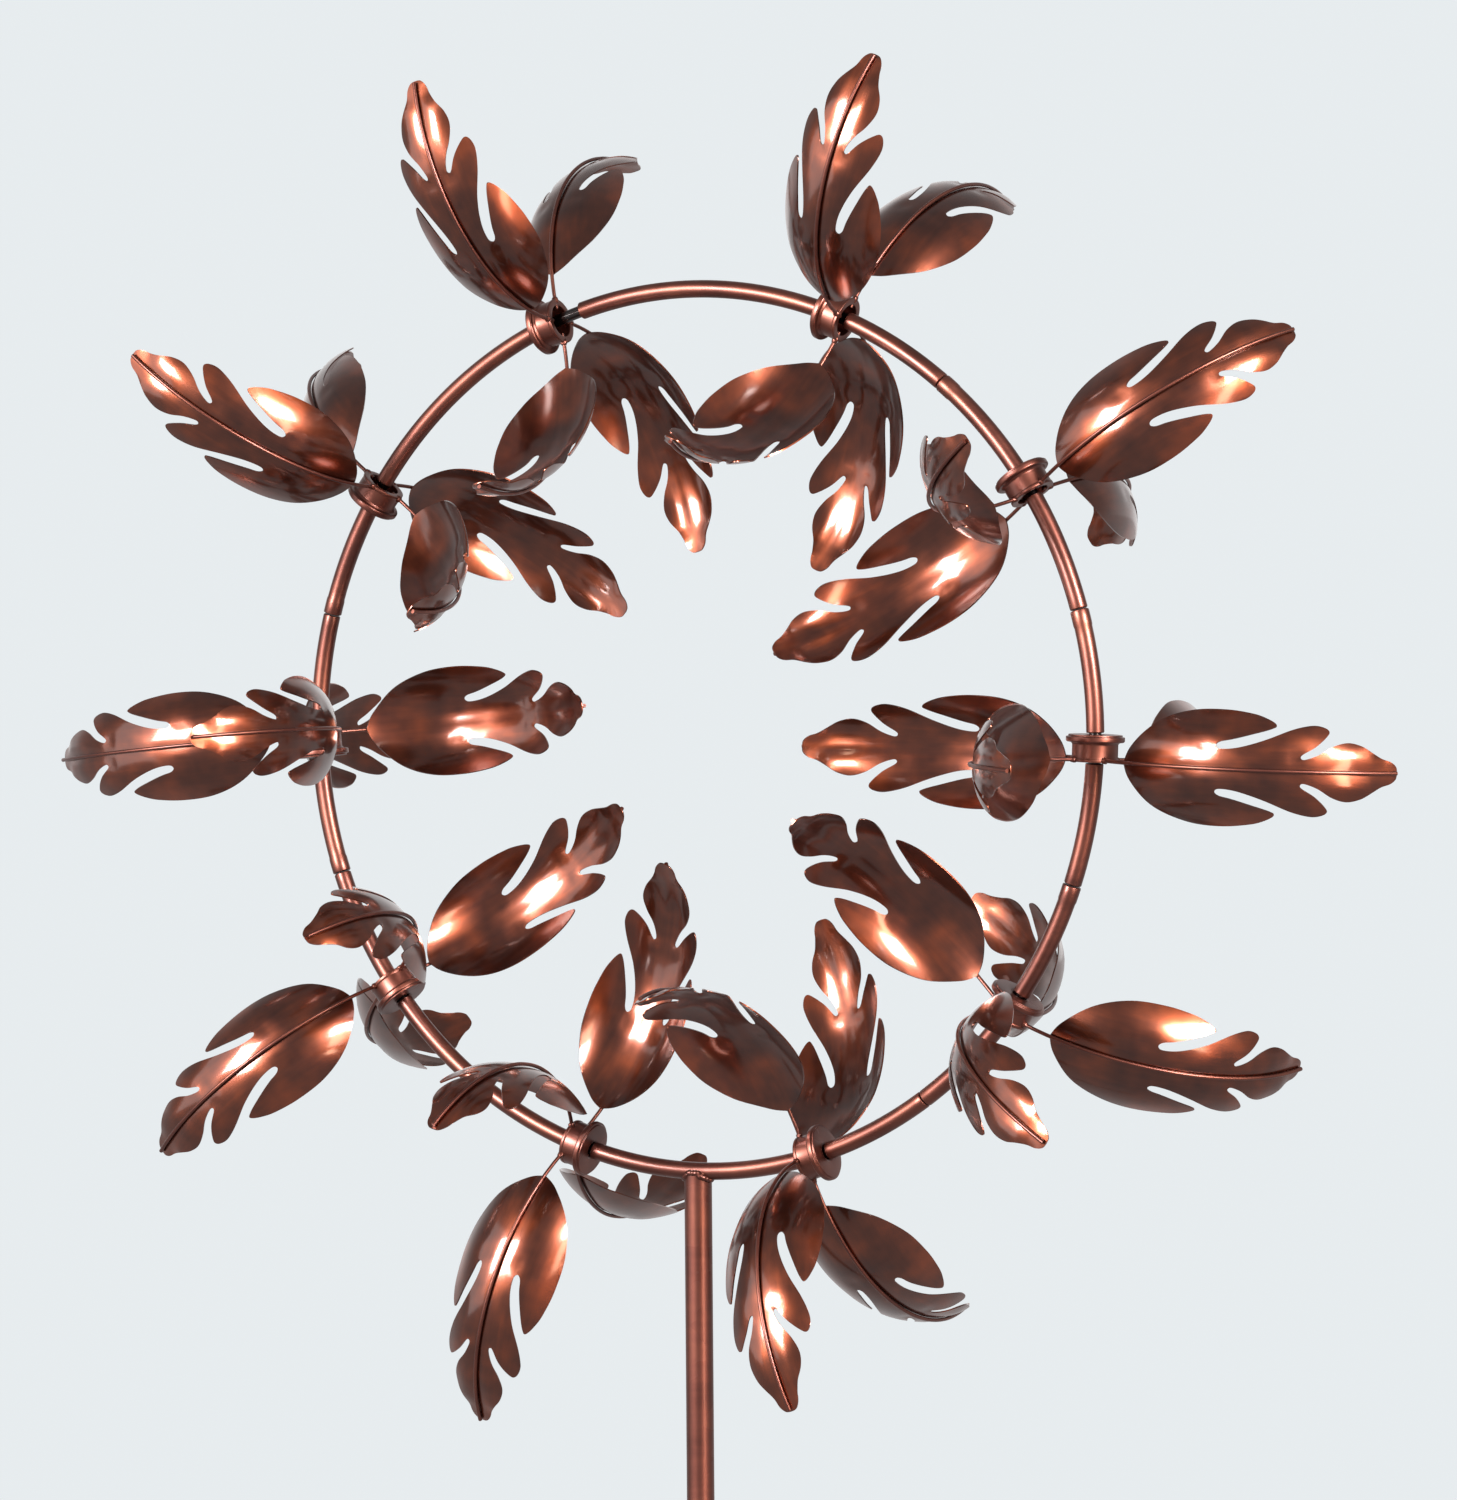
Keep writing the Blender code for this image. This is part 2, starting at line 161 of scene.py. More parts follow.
# Pole
POLE_SIDES = 64
POLE_BORE = 0.0068
POLE_EASING = 0.0004
POLE_FOOT = (0.0004, 0.0012, 0.03)  # heights of the eased foot's rim and shoulder, and of the shaft's start
POLE_FOOT_BEVEL = 0.0005
SHAFT_RINGS = 12
SHAFT_END = 0.01  # the plain shaft ends this far below the pole's top
SOCKET_DEPTH = 0.06
SPIGOT_RADIUS = 0.0064
SPIGOT_BORE = 0.0052
SPIGOT_ROOT = 0.01
JOINT_GAP = 0.0006
COPE_INSETS = (1.0, 0.93, 0.75, 0.45)
COPE_DEPTH = 0.6
COPE_GAP = 0.0004
COPE_CROWN = 0.00078

# Weld between the pole and the ring: a rippled cord along a saddle a little outside the pole's cope
WELD_STEPS = 96
WELD_SIDES = 12
WELD_RADIUS = 0.0017
WELD_UNEVENNESS = 0.0006
UNEVENNESS_RATE = 420.0
WELD_RIPPLE = 0.00018
STEPS_PER_RIPPLE = 4
WELD_REACH = 0.0002
WELD_NARROWING = 0.93
WELD_FLATTENING = 0.8
WELD_SADDLE_RADIUS = TUBE_RADIUS + 0.0004
WELD_SADDLE_DEPTH = 0.75
WELD_DROP = 0.0006

# Stake
ROUND_SIDES = 40
PEG_RADIUS = 0.0062
PRONG_RADIUS = 0.005
PRONG_OFFSET = 0.062
PRONG_POINT = 0.035
PRONG_TIP_RADIUS = PRONG_RADIUS * 0.2
ROD_EASING = 0.0008
FOOT_THICKNESS = 0.004
FOOT_CORNER = 0.012
FOOT_EDGE = (0.0005, 0.0006)  # how far each edge is eased along the face and down the side
# Weld beads round the peg and the prongs: count, distance off the rod's surface and half-sizes
PEG_BEADS = (14, 0.0006, (0.0019, 0.0019, 0.0016))
PRONG_BEADS = (12, 0.0004, (0.0017, 0.0017, 0.0013))
PEG_BEAD_HEIGHT = FOOT_THICKNESS + 0.0004

# Screw: pan head outline and cross recess, as shares of the head's radius and depth
SCREW_OUTLINE = ((0.0, 1.0), (0.45, 0.98), (0.8, 0.78), (1.0, 0.35), (1.0, 0.0), (0.0, 0.0))
SCREW_EASING = 0.0006
RECESS_WIDTH = 0.2
RECESS_CENTRE = 1.05

# Paint: cloudy colour with a share of streaks, which are much finer along the object's own Z
CLOUD_SCALE = 22.0
CLOUD_DETAIL = 3.0
CLOUD_SHARE = 0.86
STREAK_SCALE = 30.0
STREAK_DETAIL = 4.0
STREAK_STRETCH = (1.0, 1.0, 9.0)
TONE_STOPS = (0.34, 0.50, 0.68)
ROUGHNESS_CHANGE = 0.04
COAT_ROUGHNESS_CHANGE = 0.25

# Camera
CAMERA_AZIMUTH = 28.63
CAMERA_ELEVATION = 1.27
CAMERA_ROLL = -0.46
CAMERA_DISTANCE = 3.615
CAMERA_LENS = 154.5
CAMERA_SHIFT = (0.0233, -0.0133)

# Floor and backdrop
FLOOR_DROP = 0.002
FLOOR_RADIUS = 60.0
FLOOR_NEAR = 2.5
FLOOR_FAR = 7.0
FLOOR_PALE = (0.53, 0.56, 0.57)
FLOOR_LIGHT = (0.56, 0.59, 0.60)
FLOOR_SHADOW = (0.08, 0.08, 0.08, 1.0)  # how strongly the lights and shadows fall on the floor
FLOOR_REFLECTED = (0.50, 0.48, 0.48, 1.0)
BACKDROP = (0.80, 0.84, 0.86, 1.0)

# The room as the metal reflects it, from the camera's side at 0 to the wall behind the object at 1
ROOM_COLORS = (
    (0.0, (0.42, 0.40, 0.40)),
    (0.55, (0.34, 0.325, 0.325)),
    (0.66, (0.40, 0.385, 0.385)),
    (0.82, (0.76, 0.75, 0.75)),
    (1.0, (0.95, 0.94, 0.94)),
)
ROOM_TILT = 14.0
ROOM_FLATTENING = (1.0, 1.0, 1.7)

# Lights: name, azimuth from the camera's, elevation, distance, size, power and colour
LIGHTS = (
    ("right_key", 40.0, 18.0, 3.2, (0.9, 0.9), 265.0, (1.0, 0.95, 0.92)),
    ("left_key", -48.0, 14.0, 3.0, (1.1, 1.1), 225.0, (1.0, 0.95, 0.93)),
    ("left_wash", -75.0, 8.0, 2.6, (1.6, 2.2), 20.0, (1.0, 0.93, 0.92)),
    ("low_glow", 38.0, -4.0, 3.0, (0.5, 1.1), 34.0, (1.0, 0.64, 0.43)),
)

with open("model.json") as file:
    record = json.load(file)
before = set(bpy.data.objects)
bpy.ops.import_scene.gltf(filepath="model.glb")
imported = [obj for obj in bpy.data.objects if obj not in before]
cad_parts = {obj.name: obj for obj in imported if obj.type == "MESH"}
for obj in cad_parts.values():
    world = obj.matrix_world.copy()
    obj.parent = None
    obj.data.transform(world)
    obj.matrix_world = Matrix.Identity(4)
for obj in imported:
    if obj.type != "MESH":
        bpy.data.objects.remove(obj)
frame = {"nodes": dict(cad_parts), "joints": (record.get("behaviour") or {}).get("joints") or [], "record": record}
cad_low, cad_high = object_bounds()
joints = {joint["child"]: joint for joint in frame["joints"]}
ROTORS = sorted(joints)


# ---------------------------------------------------------------- materials


def add_node(tree, kind, inputs=None, **settings):
    """A shader node with its settings; an input is a value or another node's socket."""
    node = tree.nodes.new(kind)
    for name, value in settings.items():
        setattr(node, name, value)
    for name, value in (inputs or {}).items():
        if isinstance(value, bpy.types.NodeSocket):
            tree.links.new(value, node.inputs[name])
        else:
            node.inputs[name].default_value = value
    return node


def ramp(tree, factor, stops):
    node = add_node(tree, "ShaderNodeValToRGB", {"Fac": factor})
    elements = node.color_ramp.elements
    while len(elements) < len(stops):
        elements.new(0.5)
    for element, (place, color) in zip(elements, stops):
        element.position = place
        element.color = (*color, 1.0)
    return node.outputs["Color"]


def varied(tree, factor, places, value, change):
    """The value, lowered by a share of itself up to the first place on the ramp, raised past the second."""
    values = (value * (1 - change), value * (1 + change))
    return ramp(tree, factor, [(place, (level,) * 3) for place, level in zip(places, values)])


def noise_texture(tree, coordinates, scale, detail, stretch=(1.0, 1.0, 1.0)):
    mapping = add_node(tree, "ShaderNodeMapping", {"Vector": coordinates, "Scale": stretch})
    inputs = {"Vector": mapping.outputs[0], "Scale": scale, "Detail": detail, "Roughness": 0.6}
    return add_node(tree, "ShaderNodeTexNoise", inputs).outputs["Fac"]


def vector_math(tree, operation, *vectors):
    return add_node(tree, "ShaderNodeVectorMath", dict(enumerate(vectors)), operation=operation)


def weighted_sum(tree, first, first_weight, second, second_weight):
    weighted = add_node(tree, "ShaderNodeMath", {0: second, 1: second_weight}, operation="MULTIPLY")
    inputs = {0: first, 1: first_weight, 2: weighted.outputs[0]}
    return add_node(tree, "ShaderNodeMath", inputs, operation="MULTIPLY_ADD").outputs[0]


def metal_material(name):
    """A fully metallic material, with its node tree, its shader and the object's own coordinates."""
    material = bpy.data.materials.new(name)
    material.use_nodes = True
    tree = material.node_tree
    shader = tree.nodes["Principled BSDF"]
    shader.inputs["Metallic"].default_value = 1.0
    place = add_node(tree, "ShaderNodeTexCoord").outputs["Object"]
    return material, tree, shader, place


def copper_material(name, colors, roughness, coat, coat_roughness):
    """Candy-copper metallic paint under a clear coat, with cloudy colour and faint brushed streaks."""
    material, tree, shader, place = metal_material(name)
    clouds = noise_texture(tree, place, CLOUD_SCALE, CLOUD_DETAIL)
    streaks = noise_texture(tree, place, STREAK_SCALE, STREAK_DETAIL, STREAK_STRETCH)
    tone = weighted_sum(tree, clouds, CLOUD_SHARE, streaks, 1 - CLOUD_SHARE)
    color = ramp(tree, tone, tuple(zip(TONE_STOPS, colors)))
    rough = varied(tree, streaks, (0.3, 0.7), roughness, ROUGHNESS_CHANGE)
    coat_rough = varied(tree, clouds, (0.35, 0.65), coat_roughness, COAT_ROUGHNESS_CHANGE)
    tree.links.new(color, shader.inputs["Base Color"])
    tree.links.new(rough, shader.inputs["Roughness"])
    tree.links.new(coat_rough, shader.inputs["Coat Roughness"])
    shader.inputs["Coat Weight"].default_value = coat
    return material


def steel_material():
    """Plain zinc plating with a fine mottle."""
    material, tree, shader, place = metal_material("zinc_steel")
    mottle = noise_texture(tree, place, 700.0, 4.0)
    color = ramp(tree, mottle, ((0.3, (0.42, 0.42, 0.43)), (0.7, (0.62, 0.61, 0.58))))
    rough = ramp(tree, mottle, ((0.3, (0.28,) * 3), (0.7, (0.45,) * 3)))
    bump = add_node(tree, "ShaderNodeBump", {"Height": mottle, "Strength": 0.1, "Distance": 0.0003})
    tree.links.new(color, shader.inputs["Base Color"])
    tree.links.new(rough, shader.inputs["Roughness"])
    tree.links.new(bump.outputs[0], shader.inputs["Normal"])
    return material


leaf_copper = copper_material(
    "leaf_copper_paint",
    ((0.050, 0.015, 0.010), (0.118, 0.030, 0.014), (0.27, 0.057, 0.018)),
    roughness=0.31,
    coat=1.0,
    coat_roughness=0.14,
)
tube_copper = copper_material(
    "tube_copper_paint",
    ((0.085, 0.028, 0.021), (0.125, 0.039, 0.027), (0.17, 0.053, 0.032)),
    roughness=0.42,
    coat=0.45,
    coat_roughness=0.27,
)
axle_copper = copper_material(
    "axle_dark_paint",
    ((0.008, 0.007, 0.008), (0.014, 0.010, 0.010), (0.022, 0.013, 0.013)),
    roughness=0.32,
    coat=1.0,
    coat_roughness=0.16,
)
zinc_steel = steel_material()


# ---------------------------------------------------------------- mesh helpers


def add_object(name, mesh, *materials):
    obj = bpy.data.objects.new(name, mesh)
    bpy.context.scene.collection.objects.link(obj)
    for material in materials:
        mesh.materials.append(material)
    return obj


def stand_for(obj, node, body):
    """The object takes the CAD node's place on its body."""
    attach(obj, body)
    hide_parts(node)


def finished_mesh(bm, name, sharp=38.0):
    """A smooth-shaded mesh whose edges stay sharp past the given angle, or nowhere where it is 0."""
    bmesh.ops.recalc_face_normals(bm, faces=bm.faces)
    mesh = bpy.data.meshes.new(name)
    bm.to_mesh(mesh)
    bm.free()
    mesh.shade_smooth()
    if sharp:
        mesh.set_sharp_from_angle(angle=math.radians(sharp))
    return mesh


def circle(sides):
    """(cosine, sine) pairs evenly round a circle."""
    turns = [2 * math.pi * i / sides for i in range(sides)]
    return [(math.cos(turn), math.sin(turn)) for turn in turns]


def bridge(bm, first, second, material=0):
    """Quads between two closed rings of vertices of the same count."""
    count = len(first)
    for i in range(count):
        j = (i + 1) % count
        face = bm.faces.new((first[i], first[j], second[j], second[i]))
        face.material_index = material


def sweep(bm, stations, sides, slots=None):
    """A capped tube through stations of (centre, side, up, radius). slots has each stretch's material."""
    rings = []
    for centre, side, up, radius in stations:
        rings.append([bm.verts.new(centre + radius * (side * c + up * s)) for c, s in circle(sides)])
    for index, (first, second) in enumerate(zip(rings, rings[1:])):
        bridge(bm, first, second, slots[index] if slots else 0)
    bm.faces.new(list(reversed(rings[0])))
    bm.faces.new(rings[-1])


def turned(bm, profile, sides, matrix=Matrix.Identity(4), closed=True):
    """A solid turned about Z from (radius, z) points. A closed profile is a ring; an open one ends on Z."""
    rings = []
    for radius, height in profile:
        points = [(radius * c, radius * s, height) for c, s in circle(sides if radius > 0 else 1)]
        rings.append([bm.verts.new(matrix @ Vector(point)) for point in points])
    pairs = list(zip(rings, rings[1:]))
    if closed:
        pairs.append((rings[-1], rings[0]))
    for first, second in pairs:
        if len(first) == len(second):
            bridge(bm, first, second)
            continue
        tip, ring = sorted((first, second), key=len)
        for i in range(sides):
            bm.faces.new((tip[0], ring[i], ring[(i + 1) % sides]))


def rounded(profile, radius, steps=4, closed=True):
    """The profile with each corner replaced by an arc-like curve that starts the given distance from it."""
    points = [Vector(p) for p in profile]
    count = len(points)
    result = []
    for i, corner in enumerate(points):
        if not closed and i in (0, count - 1):
            result.append(tuple(corner))
            continue
        before = points[i - 1] - corner
        after = points[(i + 1) % count] - corner
        cut = min(radius, before.length * 0.48, after.length * 0.48)
        start = corner + before.normalized() * cut
        end = corner + after.normalized() * cut
        for step in range(steps + 1):
            t = step / steps
            result.append(tuple(start * (1 - t) ** 2 + corner * 2 * t * (1 - t) + end * t**2))
    return result


def catmull(points, steps):
    """Points on a smooth curve through all the given ones."""
    result = []
    for i in range(len(points) - 1):
        before = points[max(i - 1, 0)]
        start, end = points[i], points[i + 1]
        after = points[min(i + 2, len(points) - 1)]
        for step in range(steps):
            t = step / steps
            part = start * 2 + (end - before) * t
            part = part + (before * 2 - start * 5 + end * 4 - after) * t**2
            part = part + (start * 3 - before - end * 3 + after) * t**3
            result.append(part / 2)
    result.append(points[-1])
    return result


def add_weld(bm, centre, axis, size, seed):
    """A lumpy bead: a small ball with its own half-sizes, the last one along axis, pushed about by noise."""
    turn = axis.to_track_quat("Z", "Y").to_matrix()
    made = bmesh.ops.create_icosphere(bm, subdivisions=3, radius=1.0)
    for vert in made["verts"]:
        lump = 1.0 + WELD_LUMPS * noise.noise(vert.co * 1.7 + Vector((seed, 0, 0)))
        vert.co = centre + turn @ (vert.co * Vector(size)) * lump


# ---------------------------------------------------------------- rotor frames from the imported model


def circle_centre(a, b, c):
    """Centre of the circle in the XZ plane through three points."""
    ab, ac = b - a, c - a
    cross = 2 * (ab.x * ac.z - ab.z * ac.x)
    x = (ac.z * ab.length_squared - ab.z * ac.length_squared) / cross
    z = (ab.x * ac.length_squared - ac.x * ab.length_squared) / cross
    return a + Vector((x, 0, z))


def hub_place(body):
    return Vector(joints[body]["pos_m"])


RING_CENTRE = circle_centre(*(hub_place(ROTORS[i]) for i in (0, 3, 7)))
RING_RADIUS = (hub_place(ROTORS[0]) - RING_CENTRE).length


def ring_angle(body):
    """The rotor's place on the ring in degrees, from +X towards +Z."""
    reach = hub_place(body) - RING_CENTRE
    return math.degrees(math.atan2(reach.z, reach.x))


def rotor_matrix(body):
    axis = Vector(joints[body]["axis"])
    front = Vector((0.0, -1.0, 0.0))
    turn = Matrix((front.cross(axis), front, axis)).transposed()
    return Matrix.Translation(hub_place(body)) @ turn.to_4x4()


def stem_point(length):
    """(outward, sideways, slope) of the stem's arc at this length along it."""
    first, last = (math.radians(slope) for slope in STEM_SLOPES)
    radius = STEM_LENGTH / (first - last)
    slope = first - length / radius
    outward = STEM_START[0] + radius * (math.sin(first) - math.sin(slope))
    sideways = STEM_START[1] + radius * (math.cos(slope) - math.cos(first))
    return outward, sideways, slope


def leaf_matrix(body, node):
    """The leaf's own frame, found from where the CAD leaf's tip is."""
    matrix = rotor_matrix(body)
    to_rotor = matrix.inverted()
    tip = max((to_rotor @ v.co for v in frame["nodes"][node].data.vertices), key=lambda p: p.xy.length)
    outward, sideways, slope = stem_point(STEM_LENGTH)
    drop = STEM_RADIUS + BLADE_GAP
    outward += drop * math.sin(slope)
    sideways -= drop * math.cos(slope)
    bend = math.asin((STEM_PLANE - tip.z) / outward)
    turn = math.atan2(tip.y, tip.x) - math.atan2(sideways, outward * math.cos(bend))
    place = Matrix.Translation((0, 0, STEM_PLANE)) @ Euler((0, bend, turn)).to_matrix().to_4x4()
    return matrix @ place


# ---------------------------------------------------------------- leaf


def bell(value, middle, width):
    return math.exp(-(((value - middle) / width) ** 2))


def relief(along, across):
    """How far the stamped sheet stands out of its plain curve, in metres."""
    side = abs(across)
    fade = min(1.0, along * GROOVE_FADES[0]) * min(1.0, (1 - along) * GROOVE_FADES[1])
    groove = GROOVE_DEPTH * (1 - bell(side, 0.0, GROOVE_WIDTH)) * fade
    swell = 0.0
    for height, place, length, side_place, width in SWELLS:
        swell += height * bell(along, place, length) * bell(side, side_place, width)
    eye_distance = math.hypot(along - EYE_PLACE[0], side - EYE_PLACE[1])
    eye = -EYE_DEPTH * bell(eye_distance, EYE_RADIUS, EYE_WIDTH)
    wave = WAVE_HEIGHT * math.sin(along * WAVE_RATE) * bell(along, WAVE_PLACE, WAVE_WIDTH)
    wave *= min(1.0, side / WAVE_FADE)
    dents = DENT_HEIGHT * noise.noise(Vector((along * DENT_RATES[0], across * DENT_RATES[1], DENT_SEED)))
    return groove + swell + eye + wave + dents


def blade_point(along, across):
    """Where a point of the flat outline lies once the sheet is curved along the stem and cupped round it."""
    outward, sideways, slope = stem_point(BLADE_START + along * BLADE_LENGTH)
    roll = across * BLADE_LENGTH / CUP_RADIUS
    radius = CUP_RADIUS + relief(along, across)
    drop = CUP_RADIUS - radius * math.cos(roll) + STEM_RADIUS + BLADE_GAP
    outward += drop * math.sin(slope)
    sideways -= drop * math.cos(slope)
    return Vector((outward, sideways, radius * math.sin(roll)))


def flat_blade():
    """The smooth outline, flat, cut into a fine grid."""
    control = [Vector((0, 0, 0)), *(Vector((a, c, 0)) for a, c in HALF_OUTLINE), Vector((1, 0, 0))]
    half = catmull(control, OUTLINE_STEPS)
    mirrored = [Vector((p.x, -p.y, 0)) for p in reversed(half[1:-1])]
    bm = bmesh.new()
    bm.faces.new([bm.verts.new(p) for p in half + mirrored])
    cuts = [((i / BLADE_CUTS_ALONG, 0, 0), (1, 0, 0)) for i in range(1, BLADE_CUTS_ALONG)]
    cuts += [((0, side * share, 0), (0, 1, 0)) for share in (0.0, *BLADE_CUTS_ACROSS) for side in (-1, 1)]
    for point, normal in cuts:
        parts = bm.verts[:] + bm.edges[:] + bm.faces[:]
        bmesh.ops.bisect_plane(bm, geom=parts, plane_co=point, plane_no=normal, dist=1e-4)
    return bm


def blade_mesh():
    """One leaf's sheet in the leaf's own frame, with its faces towards the stem."""
    bm = flat_blade()
    for vert in bm.verts:
        vert.co = blade_point(vert.co.x, vert.co.y)
    bmesh.ops.recalc_face_normals(bm, faces=bm.faces)
    bm.normal_update()
    if sum(face.normal.y for face in bm.faces) < 0:
        bmesh.ops.reverse_faces(bm, faces=bm.faces)
    mesh = bpy.data.meshes.new("blade")
    bm.to_mesh(mesh)
    bm.free()
    mesh.shade_smooth()
    return mesh


def add_blade(name, mesh, matrix):
    """A leaf with its sheet's thickness and eased edges."""
    blade = add_object(name, mesh, leaf_copper)
    blade.matrix_world = matrix
    sheet = blade.modifiers.new("Sheet", "SOLIDIFY")
    sheet.thickness = BLADE_THICKNESS
    sheet.offset = -1.0
    edge = blade.modifiers.new("Edge", "BEVEL")
    edge.width = BLADE_EDGE
    edge.segments = 2
    edge.angle_limit = math.radians(BLADE_EDGE_ANGLE)
    normals = blade.modifiers.new("Normals", "WEIGHTED_NORMAL")
    normals.weight = 60
    return blade


# ---------------------------------------------------------------- stems and hub


def add_stem(bm, matrix):
    """The wire from inside the barrel to the leaf's tip, with a melted blob at its end."""
    turn = matrix.to_3x3()
    stations = []
    for i in range(STEM_STATIONS + 1):
        length = STEM_ROOT + (STEM_END - STEM_ROOT) * i / STEM_STATIONS
        outward, sideways, slope = stem_point(length)
        normal = Vector((-math.sin(slope), math.cos(slope), 0))
        wobble = STEM_WOBBLE * noise.noise(Vector((length * WOBBLE_RATE, 0, 0)))
        blob = BLOB_HEIGHT * bell(length, BLOB_PLACE, BLOB_LENGTH)
        centre = Vector((outward, sideways, 0)) + normal * wobble
        stations.append((matrix @ centre, turn @ normal, turn @ Vector((0, 0, 1)), STEM_RADIUS + blob))
    sweep(bm, stations, STEM_SIDES)


def add_root_welds(bm, matrix, seed):
    """The bead where a stem leaves the barrel, and a smaller one beside it."""
    outward, sideways, slope = stem_point(0.0)
    root = Vector((outward, sideways, 0))
    along = matrix.to_3x3() @ Vector((math.cos(slope), math.sin(slope), 0))
    add_weld(bm, matrix @ root, along, ROOT_WELD, seed)
    add_weld(bm, matrix @ (root + Vector(SIDE_WELD_PLACE)), along, SIDE_WELD, seed + 9)


def hub_profile():
    """The hub's section: a waisted barrel open at the top, and a stepped flange with the axle's bore."""
    low = -HUB_LENGTH / 2
    high = HUB_LENGTH / 2
    flange_top = low + FLANGE_LENGTH
    outline = [
        (BARREL_BORE, high),
        (BARREL_RADIUS, high),
        (BARREL_RADIUS, high - COLLAR_LENGTHS[0]),
        (BARREL_WAIST, high - COLLAR_LENGTHS[1]),
        (BARREL_WAIST, flange_top + FILLET[1]),
        (BARREL_RADIUS + FILLET[0], flange_top),
        (FLANGE_RADIUS - FLANGE_BEVEL, flange_top),
        (FLANGE_RADIUS, flange_top - FLANGE_BEVEL),
        (FLANGE_RADIUS, low + STEP_HEIGHTS[1]),
        (FLANGE_RADIUS - FLANGE_STEP, low + STEP_HEIGHTS[0]),
        (FLANGE_RADIUS - FLANGE_STEP, low),
        (HUB_BORE + HUB_BORE_BEVEL[0], low),
        (HUB_BORE, low + HUB_BORE_BEVEL[1]),
        (HUB_BORE, low + HUB_WEB),
        (BARREL_BORE, low + HUB_WEB),
    ]
    return rounded(outline, HUB_EASING, 3)


def add_hub(body, leaves):
    """The turned hub with a stem and its welds for each leaf."""
    bm = bmesh.new()
    turned(bm, hub_profile(), HUB_SIDES, rotor_matrix(body))
    for index, leaf in enumerate(leaves):
        add_stem(bm, leaf)
        add_root_welds(bm, leaf, index * 3.1 + hub_place(body).x * 40)
    hub = add_object(f"{body}_hub_and_stems", finished_mesh(bm, f"{body}_hub"), tube_copper)
    stand_for(hub, f"{body}_hub", body)


def add_rotor(body, blade):
    nodes = [node for node in frame["record"]["behaviour"]["bodies"][body] if "_leaf_" in node]
    leaves = [leaf_matrix(body, node) for node in nodes]
    for node, matrix in zip(nodes, leaves):
        leaf = add_blade(node.replace("_leaf_", "_blade_"), blade, matrix)
        stand_for(leaf, node, body)
    add_hub(body, leaves)


# ---------------------------------------------------------------- ring


def ring_station(degrees, radius):
    angle = math.radians(degrees)
    outward = Vector((math.cos(angle), 0, math.sin(angle)))
    return RING_CENTRE + RING_RADIUS * outward, outward, Vector((0, 1, 0)), radius


def arc_degrees(length):
    return math.degrees(length / RING_RADIUS)


def middle_angle(first, second):
    """The angle midway between two rotors, given by number."""
    low, high = ring_angle(f"rotor_{first:02d}"), ring_angle(f"rotor_{second:02d}")
    return low + ((high - low) % 360.0) / 2


def end_places(start, end, flare):
    """(degrees, radius, material slot) at a section's rolled ends, the second one flared."""
    places = [(start + arc_degrees(distance), TUBE_RADIUS - drop, 0) for distance, drop in PLAIN_END]
    places += [(end - arc_degrees(distance), TUBE_RADIUS + flare - drop, 0) for distance, drop in FLARED_END]
    places.append((end - arc_degrees(FLARE_LENGTH), TUBE_RADIUS, 0))
    return places


def neck_places(start, end):
    """(degrees, radius, material slot) where the tube necks to its axle, at each hub from start to end."""
    reach = arc_degrees(HUB_LENGTH / 2 + SNUG_AXLE)
    neck = arc_degrees(NECK_LENGTH)
    places = []
    for body in ROTORS:
        centre = start + (ring_angle(body) - start) % 360.0
        if centre > end:
            continue
        low = centre - reach - arc_degrees(EXPOSED_AXLE.get(body, 0.0))
        high = centre + reach
        places += [
            (low - neck, TUBE_RADIUS, 0),
            (low - neck / 3, TUBE_SHOULDER, 0),
            (low, AXLE_RADIUS, 1),
            (high, AXLE_RADIUS, 0),
            (high + neck / 3, TUBE_SHOULDER, 0),
            (high + neck, TUBE_RADIUS, 0),
        ]
    return places


def add_ring_section(name, start, end, flare):
    """A tube from start to end degrees, necked to its axle at each hub, with rolled ends at the seams."""
    start += arc_degrees(SEAM_HALF_GAP)
    end -= arc_degrees(SEAM_HALF_GAP)
    places = sorted(end_places(start, end, flare) + neck_places(start, end))
    stations = []
    slots = []
    for (angle, radius, slot), (next_angle, next_radius, _) in zip(places, places[1:]):
        pieces = max(1, math.ceil((next_angle - angle) / TUBE_STEP))
        for share in (i / pieces for i in range(pieces)):
            between = angle + (next_angle - angle) * share
            stations.append(ring_station(between, radius + (next_radius - radius) * share))
            slots.append(slot)
    last_angle, last_radius, _ = places[-1]
    stations.append(ring_station(last_angle, last_radius))
    bm = bmesh.new()
    sweep(bm, stations, TUBE_SIDES, slots)
    section = add_object(f"{name}_tube", finished_mesh(bm, name, 30.0), tube_copper, axle_copper)
    stand_for(section, name, "frame")


def add_ring():
    for name, start_pair, end_pair in RING_SECTIONS:
        start = middle_angle(*start_pair)
        end = start + (middle_angle(*end_pair) - start) % 360.0
        add_ring_section(name, start, end, 0.0 if name == "ring_bottom" else FLARE_HEIGHT)


# ---------------------------------------------------------------- pole and its weld


def saddle_height(x, y, radius, depth):
    """Height at (x, y) of a saddle under the ring's lowest point, by a share of the tube's own depth."""
    bend = RING_RADIUS - math.sqrt(RING_RADIUS**2 - x * x)
    hug = math.sqrt(max(radius**2 - y * y, 0.0)) * depth
    return RING_CENTRE.z - RING_RADIUS + bend - hug


def pole_radius():
    low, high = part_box("pole_upper")
    return (high.x - low.x) / 2


def level_loop(bm, radius, height):
    return [bm.verts.new((radius * c, radius * s, height)) for c, s in circle(POLE_SIDES)]


